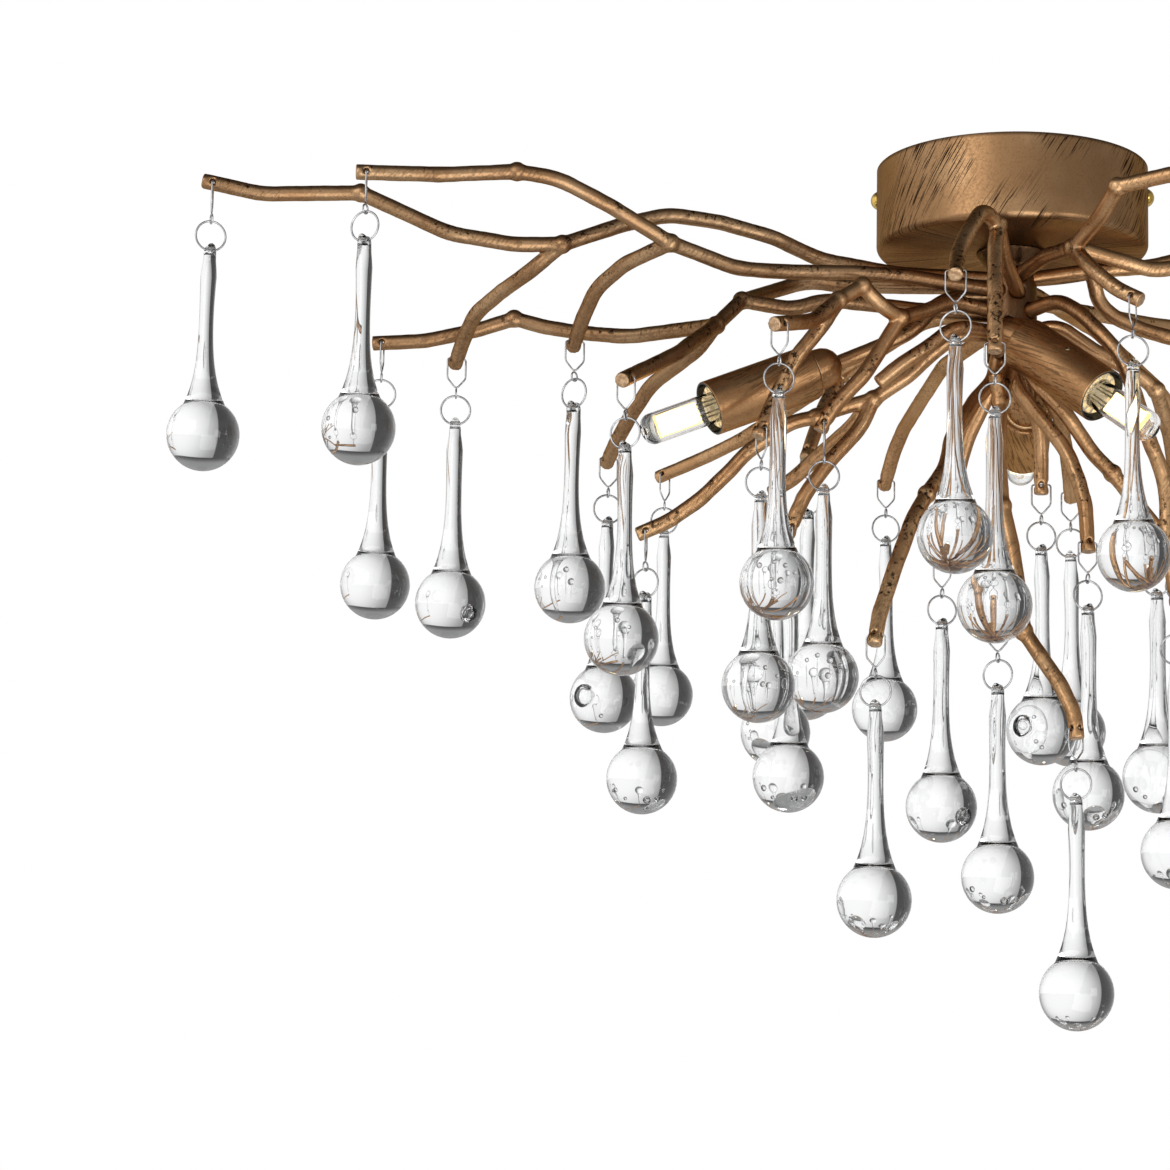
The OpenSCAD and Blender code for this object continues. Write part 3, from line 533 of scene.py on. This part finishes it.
def lamp_frame(lamp):
    """Where a lamp stands: at its arm's end, along the arm's last stretch, with one flat
    side of its bulb's board to the front."""
    start, end = (Vector(p) * MM for p in lamp)
    ahead = (end - start).normalized()
    back = Vector((0, 1, 0.15))
    back = (back - ahead * back.dot(ahead)).normalized()
    turn = Matrix((back.cross(ahead), back, ahead)).transposed().to_4x4()
    return Matrix.Translation(end) @ turn


def join(piece, others):
    """Makes one mesh of a piece and others."""
    only(piece)
    for other in others:
        other.select_set(True)
    bpy.ops.object.join()


def at_each(places, piece):
    """Copies a finished piece to each place and makes one mesh of the copies."""
    copies = []
    for place in places:
        copied = piece.copy()
        copied.data = piece.data.copy()
        copied.data.transform(place)
        scene.collection.objects.link(copied)
        copies.append(copied)
    name = piece.name
    bpy.data.objects.remove(piece)
    join(copies[0], copies[1:])
    copies[0].name = name
    return copies[0]


def cut_away(piece, tool):
    """Cuts the shape of a tool out of a piece and removes the tool."""
    modify(piece, "BOOLEAN", object=tool, solver="EXACT")
    bpy.data.objects.remove(tool)


def along_cup(tree):
    """Places on a cup before it was put on its arm, so that marks run along each cup."""
    return add_node(tree, "ShaderNodeAttribute", attribute_name="cup_place")["Vector"]


lamp_frames = [lamp_frame(lamp) for lamp in LAMPS]
cup_gold = gold_coat("cup_gold", (0.42, 0.225, 0.1), (0.53, 0.305, 0.145),
                     (0.1, 0.048, 0.022), strokes=0.55, specks=0.2, upper_shade_and_patina=0.4,
                     turn=(0, 1.35, 0), marks=(26, 0.9), wrapped=along_cup)
# Painted shade: the cup's inside walls are near-black, for the shade in the gap round the
# socket.
painted_shade_lining = mottled("painted_shade_black", (0.006, 0.006, 0.006, 1), (0.02, 0.02, 0.02, 1), 500,
                (0.15, 0.3))
shell = [(0.5, COLLAR_END), (3.5, COLLAR_END), (4.3, -13.3), (6.2, -12), (7.8, -10)]
shell += [(8.7, -7.6), (COLLAR_R, -5), (COLLAR_R, -1.1), (COLLAR_R - 0.4, -0.8)]
shell += [(JOINT_R, -0.7), (JOINT_R, 0)] + arc(CUP_R - 1.2, 1.2, 1.2, -90, 0, 4)
shell += [(CUP_R, 14), (CUP_R, 30), (CUP_R, CUP_H - 0.3), (CUP_R - 0.25, CUP_H)]
shell += [(CUP_R - CUP_WALL, CUP_H), (CUP_R - CUP_WALL, 3), (0.5, 3)]
cup = turned("lamp_cup_shells", shell, 64)
bpy.ops.mesh.primitive_cylinder_add(
    vertices=20, radius=SET_SCREW_R * MM, depth=6 * MM,
    rotation=(math.pi / 2, 0, -SET_SCREW_TURN),
    location=(-CUP_R * math.sin(SET_SCREW_TURN) * MM, -CUP_R * math.cos(SET_SCREW_TURN) * MM,
              SET_SCREW_H * MM))
cut_away(cup, bpy.context.object)
smooth(cup, 35)
cup.data.materials.clear()
cup.data.materials.append(cup_gold)
cup.data.materials.append(painted_shade_lining)
for face in cup.data.polygons:
    inside = math.hypot(face.center.x, face.center.y) < (CUP_R - CUP_WALL / 2) * MM
    face.material_index = int(inside and face.center.z > 2 * MM)
cup_places = cup.data.attributes.new("cup_place", "FLOAT_VECTOR", "POINT")
for k, vertex in enumerate(cup.data.vertices):
    cup_places.data[k].vector = vertex.co
cups = at_each(lamp_frames, cup)
fit(cups, "lamp_cups", "brushed_gold")

# Lamp sockets. Glazed ceramic inserts, slotted round their rims, that grip the pins. The
# ceramic glows a little of its own: painted light, standing in for the bulb's light on it.
SOCKET_R, SOCKET_TOP, SOCKET_FACE, RECESS_R = 9.5, 48, 43.2, 7.2
SLOT_STEP, SLOT_DEPTH = 30, 2
# Painted light: a faint warm glow in the ceramic stands in for the bulb's light falling on it.
glazing_with_painted_glow = mottled("ceramic_with_painted_glow", (0.82, 0.68, 0.43, 1), (0.94, 0.85, 0.63, 1), 240,
                (0.2, 0.35), Emission_Color=(0.95, 0.76, 0.46, 1), Emission_Strength=0.32)
body = [(0.5, 1), (SOCKET_R - 0.5, 1), (SOCKET_R, 1.5), (SOCKET_R, SOCKET_TOP - 0.5)]
body += [(SOCKET_R - 0.5, SOCKET_TOP), (RECESS_R, SOCKET_TOP), (RECESS_R, SOCKET_FACE)]
socket = turned("ceramic_sockets", body + [(0.5, SOCKET_FACE)], 48)
only(socket)
bpy.ops.object.mode_set(mode="EDIT")
bpy.ops.mesh.select_mode(type="FACE")
bpy.ops.object.mode_set(mode="OBJECT")
for face in socket.data.polygons:
    turn = math.degrees(math.atan2(face.center.y, face.center.x)) % SLOT_STEP
    on_rim = math.hypot(face.center.x, face.center.y) > RECESS_R * MM
    face.select = face.normal.z > 0.9 and on_rim and turn < SLOT_STEP / 2
bpy.ops.object.mode_set(mode="EDIT")
bpy.ops.mesh.extrude_region_move(TRANSFORM_OT_translate={"value": (0, 0, -SLOT_DEPTH * MM)})
bpy.ops.object.mode_set(mode="OBJECT")
smooth(socket, 35)
sockets = at_each(lamp_frames, socket)
fit(sockets, "lamp_sockets", "ceramic", glazing_with_painted_glow)

# Capsule bulbs. Clear glass tubes, pressed flat at the foot round the pins and closed by
# a round end with the nipple of the seal. Each is pushed into its socket.
BULB_R, BULB_START, BULB_END, GLASS_WALL = 6.75, 44, 82, 0.8
FOOT_WALL, SEAL_WALL, SHOULDER_R = 3, 1.8, 4.5


def clear_glass(name, ior, clear, tinted, scale, dullest, depth, strength):
    """Clear glass with a faint ripple in its tint, its gloss and its surface."""
    glass, tree, shader = new_material(name, Transmission_Weight=1.0, IOR=ior)
    ripple = noise(tree, own_place(tree), scale, 2.0)
    tree.links.new(mixed(tree, ripple, clear, tinted), shader.inputs["Base Color"])
    tree.links.new(ranged(tree, ripple, 0.3, 0.7, 0.0, dullest), shader.inputs["Roughness"])
    bump(tree, shader, ripple, depth, strength)
    return glass


def capsule(radius, start, end, tip):
    """Outline of a bulb's glass, from its pressed foot to its round end and seal."""
    outline = [(0.3, start), (radius - 1.2, start), (radius, start + 1.5)]
    outline += [(radius, start + 10), (radius, start + 20), (radius, end - SHOULDER_R)]
    outline += arc(radius - SHOULDER_R, end - SHOULDER_R, SHOULDER_R, 15, 75, 4)
    return outline + [(radius * 0.26, end - tip), (radius * 0.2, end - 0.3), (0.15, end)]


bulb_glass = clear_glass("bulb_glass", 1.47, (1, 0.995, 0.98, 1), (0.97, 0.98, 0.98, 1),
                         90, 0.03, 0.0003, 0.2)
bulb = turned("capsule_bulbs", capsule(BULB_R, BULB_START, BULB_END, tip=0.9), 48)
hollow = turned("bulb_hollow", capsule(BULB_R - GLASS_WALL, BULB_START + FOOT_WALL,
                                       BULB_END - SEAL_WALL, tip=0.1), 48)
bpy.ops.object.mode_set(mode="EDIT")
bpy.ops.mesh.select_all(action="SELECT")
bpy.ops.mesh.flip_normals()
bpy.ops.object.mode_set(mode="OBJECT")
join(bulb, [hollow])
smooth(bulb, 50)
bulbs = at_each(lamp_frames, bulb)
fit(bulbs, "lamp_bulbs", "bulb_glass", bulb_glass)

# Bulb cores. Each bulb holds a small board under a yellow coat that glows warm white,
# and four steel leads carry it from the pins.
CORE_W, CORE_T, CORE_START, CORE_END = 9.8, 3, 55.5, 76.5
LEAD_R, LEAD_LENGTH, LEAD_MID = 0.4, 16, CORE_START - 7
LEADS = ((-3.4, 0.5), (-1.6, -0.5), (1.6, 0.5), (3.4, -0.5))


def glowing_core():
    """A yellow coat that glows warm white over the board's heart, less at its edges."""
    glowing, tree, shader = new_material("glowing_core", Emission_Strength=3.0, Roughness=0.4)
    heart = add_node(tree, "ShaderNodeAttribute", attribute_name="heart")["Fac"]
    grains = noise(tree, own_place(tree), 900, 2.0)
    heat = maths(tree, "ADD", heart, ranged(tree, grains, 0.3, 0.7, -0.08, 0.08))
    glow = mixed(tree, ranged(tree, heat, 0.02, 0.4), (0.62, 0.4, 0.11, 1),
                 (1.0, 0.94, 0.8, 1))
    tree.links.new(glow, shader.inputs["Base Color"])
    tree.links.new(glow, shader.inputs["Emission Color"])
    return glowing


lead_metal = mottled("lead_wire", (0.25, 0.24, 0.22, 1), (0.4, 0.39, 0.36, 1), 300,
                     (0.3, 0.45), Metallic=1.0)
bpy.ops.object.select_all(action="DESELECT")
bpy.ops.mesh.primitive_cube_add(size=1)
core = bpy.context.object
core.name = "bulb_boards"
bpy.ops.object.mode_set(mode="EDIT")
bpy.ops.transform.resize(value=(CORE_W * MM, CORE_T * MM, (CORE_END - CORE_START) * MM))
bpy.ops.transform.translate(value=(0, 0, (CORE_START + CORE_END) / 2 * MM))
bpy.ops.mesh.bevel(offset=0.7 * MM, segments=3, affect="EDGES")
bpy.ops.mesh.select_all(action="SELECT")
bpy.ops.mesh.subdivide(number_cuts=5)
bpy.ops.object.mode_set(mode="OBJECT")
hearts = core.data.attributes.new("heart", "FLOAT", "POINT")
for k, vertex in enumerate(core.data.vertices):
    side = 1 - abs(vertex.co.x) / (CORE_W / 2 * MM)
    ends = min(vertex.co.z - CORE_START * MM, CORE_END * MM - vertex.co.z) / (5 * MM)
    hearts.data[k].value = min(1, side * 1.6, ends * 1.2)
core.data.materials.clear()
core.data.materials.append(glowing_core())
core.data.materials.append(lead_metal)
for x, y in LEADS:
    bpy.ops.mesh.primitive_cylinder_add(vertices=10, radius=LEAD_R * MM, depth=LEAD_LENGTH * MM,
                                        location=(x * MM, y * MM, LEAD_MID * MM))
    lead = bpy.context.object
    bpy.ops.object.transform_apply()
    lead.data.materials.append(lead_metal)
    join(core, [lead])
smooth(core, 35)
cores = at_each(lamp_frames, core)
fit(cores, "bulb_cores", "bulb_core")

# Wire clips. Each is bright steel wire, pushed through a tip's hole and bent down on
# both sides, with two legs that close over a small eye.
LEG_X, LEG_H, NECK_H, NECK_X, EYE_R, CLIP_WIRE_R = 4.2, 9, 5, 0.5, 2, 0.4
bright_wire = mottled("bright_wire", (0.34, 0.34, 0.35, 1), (0.58, 0.58, 0.58, 1), 260,
                      (0.18, 0.32), Metallic=1.0)


def wire_loop(name, corners, radius, rounding=0, steps=0):
    """A closed loop of round wire through corners in mm, each bent round where asked."""
    bpy.ops.object.select_all(action="DESELECT")
    bpy.ops.mesh.primitive_circle_add(vertices=len(corners), radius=0.01)
    loop = bpy.context.object
    loop.name = name
    for vertex, corner in zip(loop.data.vertices, corners):
        vertex.co = Vector(corner) * MM
    if rounding:
        bpy.ops.object.mode_set(mode="EDIT")
        bpy.ops.mesh.select_all(action="SELECT")
        bpy.ops.mesh.bevel(offset=rounding * MM, segments=steps, affect="VERTICES")
        bpy.ops.object.mode_set(mode="OBJECT")
    bpy.ops.object.convert(target="CURVE")
    loop = bpy.context.object
    loop.data.bevel_depth = radius * MM
    loop.data.bevel_resolution = 2
    bpy.ops.object.convert(target="MESH")
    return bpy.context.object


def turns(count):
    """Angles that go once round in equal steps."""
    return [math.radians(k * 360 / count) for k in range(count)]


eye_top = -LEG_H - NECK_H
legs = wire_loop("clip_legs", (
    (-NECK_X, 0, eye_top + 0.7), (-LEG_X, 0, -LEG_H), (-LEG_X, 0, 0),
    (LEG_X, 0, 0), (LEG_X, 0, -LEG_H), (NECK_X, 0, eye_top + 0.7),
), CLIP_WIRE_R, rounding=1.1, steps=3)
eye = wire_loop("clip_eye", [(0, EYE_R * math.cos(a), eye_top - EYE_R + EYE_R * math.sin(a))
                             for a in turns(24)], CLIP_WIRE_R)
leg_places, eye_places, drop_places = [], [], []
for joint, hole, way in zip(frame["joints"], holes, tip_ways):
    axis = Vector(joint["axis"])
    ring_turn = Matrix.Rotation(math.atan2(axis.y, axis.x), 4, "Z")
    leg_turn = Matrix.Rotation(math.atan2(way.x, -way.y), 4, "Z")
    leg_places.append(Matrix.Translation(hole) @ leg_turn)
    eye_places.append(Matrix.Translation(hole) @ ring_turn)
    drop_places.append(Matrix.Translation(Vector(joint["pos_m"])) @ ring_turn)
clips = at_each(leg_places, legs)
join(clips, [at_each(eye_places, eye)])
clips.name = "bent_wire_clips"
smooth(clips, 60)
clips.data.materials.clear()
fit(clips, "wire_clips", "hanger_wire", bright_wire)

# Rings. Thin steel rings, bent open and closed again by hand, each through a clip's eye
# and the pierced head of its drop.
RING_R, RING_WIRE_R, RING_RISE = 6.5, 0.45, 0.6
ring = wire_loop("hanging_rings", [
    (RING_R * math.cos(a), 0, RING_RISE + RING_R + RING_R * math.sin(a)) for a in turns(48)
], RING_WIRE_R)
rings = at_each(drop_places, ring)
smooth(rings, 60)
rings.data.materials.clear()
fit(rings, "drop_rings", "hanger_wire", bright_wire)

# Glass drops. Each is one piece of solid clear glass: a gather is let run into a ball,
# the stem is drawn from it, and the head is pinched flat and pierced. Air bubbles stay
# in most balls. No two are quite the same.
BALL_R, DROP_REACH, HEAD_R, HEAD_T, BORE_R = 15.5, 80, 4, 5, 1.7
CREASE_H, CREASE_W, CREASE_DEPTH, STEM_STEPS, FLARE = 12.5, 0.4, 0.3, 18, 5
PINCH_START, PINCH_LENGTH = 12, 10
LOBE_START, LOBE_SPREAD, NOTCH_W, NOTCH_DEPTH = 2, 1.18, 2.6, 1.3
drop_glass = clear_glass("drop_glass", 1.5, (1, 1, 1, 1), (0.975, 0.985, 0.985, 1),
                         60, 0.015, 0.0004, 0.1)


def drop_outline(stem_r, head_r):
    """Outline of a drop from its ball's lowest point up the flared stem to its head."""
    crease_angle = math.degrees(math.asin(CREASE_H / BALL_R))
    crease_r = math.sqrt(BALL_R ** 2 - CREASE_H ** 2) - CREASE_DEPTH
    outline = [(0.2, -BALL_R)] + arc(0, 0, BALL_R, -87, crease_angle, 30)
    top = DROP_REACH - HEAD_R
    for step in range(STEM_STEPS + 1):
        t = step / STEM_STEPS
        radius = stem_r + (crease_r - stem_r) * (1 - t) ** FLARE + (head_r - stem_r) * t ** FLARE
        outline.append((radius, CREASE_H + CREASE_W + t * (top - CREASE_H - CREASE_W)))
    return outline + arc(0, DROP_REACH, head_r, 0, 80, 6) + [(0.2, DROP_REACH + head_r)]


def blown_drop(k, stem_r, sway, lean):
    """A drop with its own stem, sway and pinch, and its eye at the origin."""
    drop = turned("drop_shape_%d" % k, drop_outline(stem_r, HEAD_R), 64)
    for vertex in drop.data.vertices:
        z = vertex.co.z / MM
        stem = min(1, max(0, (z - CREASE_H) / (DROP_REACH - CREASE_H)))
        head = min(1, max(0, (z - DROP_REACH + PINCH_START) / PINCH_LENGTH))
        head = head * head * (3 - 2 * head)
        vertex.co.x *= 1 - head * (1 - HEAD_T / 2 / HEAD_R)
        vertex.co.x += sway * math.sin(stem * math.pi) * MM
        vertex.co.y += lean * math.sin(stem * math.pi * 1.5) * (1 - stem) * MM
        if z > DROP_REACH + LOBE_START:
            vertex.co.y *= LOBE_SPREAD
            notch = max(0, 1 - abs(vertex.co.y) / (NOTCH_W * MM))
            vertex.co.z -= notch * NOTCH_DEPTH * MM
    bpy.ops.object.select_all(action="DESELECT")
    bpy.ops.mesh.primitive_cylinder_add(vertices=24, radius=BORE_R * MM, depth=12 * MM,
                                        location=(0, 0, DROP_REACH * MM),
                                        rotation=(0, math.pi / 2, 0))
    cut_away(drop, bpy.context.object)
    smooth(drop, 45)
    drop.data.materials.clear()
    drop.data.transform(Matrix.Translation((0, 0, -DROP_REACH * MM)))
    return drop


def add_bubble(radius, spot, length):
    """An air bubble, or a thread of air of a given length: its wall faces inwards."""
    bpy.ops.mesh.primitive_uv_sphere_add(segments=12, ring_count=8, radius=radius * MM,
                                         location=spot)
    if length:
        bpy.ops.transform.resize(value=(1, 1, length / 2 / radius), center_override=spot)
    bpy.ops.mesh.flip_normals()
    bpy.ops.mesh.faces_shade_smooth()


# Bubbles as (radius, right, up, front, length of the thread below), from the ball's center
NO_BUBBLES = ()
TWO_PINS = ((1.1, -1, 5.5, 6, 8), (1.5, 2, 1, 8, 5), (0.6, -8.5, 3, 5, 0), (0.5, -9.5, 0, 4, 0))
ONE_PIN = ((1.2, 0.3, 5, 7, 7), (0.8, -9.5, 3, 3, 0), (0.6, -8.5, 0, 5, 0),
           (0.7, -9, -3.5, 4, 0))
MANY_PINS = ((1, -5, 5, 5, 9), (0.9, -1, 6.5, 6, 10), (1.1, 3, 5, 6, 9), (0.8, 6.5, 3, 5, 7),
             (1.3, 2, -1, 8, 0), (0.6, -8, 1, 5, 5))
HOLLOW = ((4.1, 8, -4.5, 5, 0),)
WIDE_HOLLOW = ((4.4, -6.5, 0.5, 6, 0), (1.1, 0, -8, 7, 0))
LOW_ROW = ((1.2, -9, -5, 5, 0), (0.9, -5.5, -8.5, 6, 0), (1.6, 2.5, -9, 6, 0),
           (1.3, 6.5, -8.5, 5, 0), (0.8, 9, -4.5, 5, 0))
LOW_RIM = ((0.9, -8.5, -9, 3, 0), (0.7, -4, -12, 4, 0), (0.9, 1, -12.7, 3, 0),
           (1, 5, -11.7, 3, 0), (0.8, 9, -9, 3, 0))
TOP_ARC = ((0.7, -6, 8, 6, 5), (0.8, -3, 9, 6, 7), (0.6, 0, 8.5, 7, 0), (0.7, 3.5, 8, 6, 6),
           (0.5, 6, 6, 6, 0))
BUBBLES = (NO_BUBBLES, ONE_PIN, NO_BUBBLES, HOLLOW, TWO_PINS, WIDE_HOLLOW, TWO_PINS, NO_BUBBLES,
           LOW_ROW, MANY_PINS, ONE_PIN, MANY_PINS, LOW_ROW, TWO_PINS, MANY_PINS, NO_BUBBLES,
           LOW_RIM, HOLLOW, TOP_ARC, TOP_ARC, LOW_ROW, WIDE_HOLLOW, ONE_PIN, LOW_ROW, NO_BUBBLES,
           TOP_ARC, LOW_ROW, NO_BUBBLES, LOW_RIM)

BUBBLE_SHIFT, THREAD_R, STEM_THREAD_R = 0.5, 0.17, 0.3

# Four stems as (radius, sway along the bore of the head, lean across it)
STEMS = ((3.1, 0.3, 0.2), (3.0, -0.4, 0.5), (3.3, 0.2, -0.5), (2.9, 0.5, 0.3))
chance = random.Random(11)
shapes = [blown_drop(k, *stem) for k, stem in enumerate(STEMS)]
for k, (joint, place) in enumerate(zip(frame["joints"], drop_places)):
    half_turn = Matrix.Rotation(math.pi * chance.randrange(2), 4, "Z")
    shape = shapes[chance.randrange(len(shapes))]
    drop = bpy.data.objects.new("clear_drop_%02d" % (k + 1), shape.data.copy())
    drop.data.transform(place @ half_turn)
    scene.collection.objects.link(drop)
    only(drop)
    ball = Vector(joint["pos_m"]) - Vector((0, 0, DROP_REACH * MM))
    bpy.ops.object.mode_set(mode="EDIT")
    bubbles = BUBBLES[k] if k < len(BUBBLES) else chance.choice(BUBBLES)
    for radius, right, up, front, thread in bubbles:
        right, up, front = (
            part + chance.uniform(-BUBBLE_SHIFT, BUBBLE_SHIFT) for part in (right, up, front))
        spot = ball + Vector((right, -front, up)) * MM
        add_bubble(radius * chance.uniform(0.85, 1.1), spot, 0)
        if thread:
            thread_spot = ball + Vector((right, -front, up - radius - thread / 2)) * MM
            add_bubble(THREAD_R, thread_spot, thread)
    if chance.random() < 0.5:
        height = chance.uniform(24, 36)
        stem_spot = ball + Vector((chance.uniform(-1, 1), 0, height)) * MM
        add_bubble(STEM_THREAD_R, stem_spot, chance.uniform(6, 14))
    bpy.ops.object.mode_set(mode="OBJECT")
    drop.data.materials.append(drop_glass)
    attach(drop, joint["child"])
    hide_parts(joint["child"])
for shape in shapes:
    bpy.data.objects.remove(shape)
